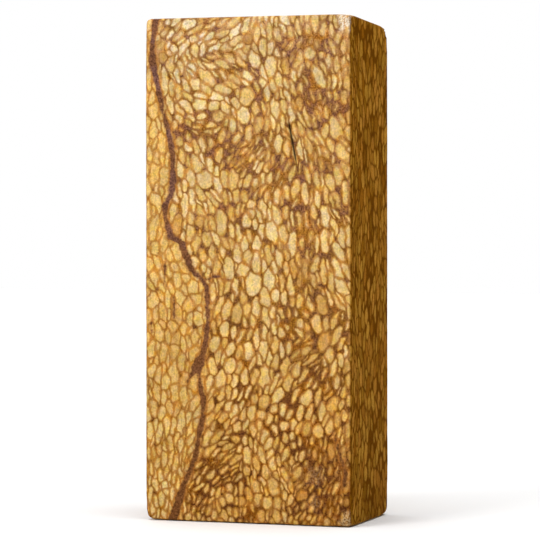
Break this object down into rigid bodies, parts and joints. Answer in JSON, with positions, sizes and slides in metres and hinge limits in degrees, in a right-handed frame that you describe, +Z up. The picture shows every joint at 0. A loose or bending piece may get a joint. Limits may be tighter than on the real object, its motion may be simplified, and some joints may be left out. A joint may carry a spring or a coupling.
{
  "type": "spalted wood block",
  "caption": "Sawn rectangular block of spalted guava wood, standing on its sawn end, with eased arrises and a hairline drying check in one broad face.",
  "frame": {"origin": "middle of the footprint, on the surface that the block stands on", "axes": "+Z up along the grain, towards the top end; -Y out of the broad face with the drying check; +X to its right"},
  "size_m": [0.055, 0.037, 0.127],
  "materials": {
    "spalted_wood": "satin"
  },
  "bodies": {
    "root": {"wood_block": "spalted_wood"}
  },
  "joints": []
}
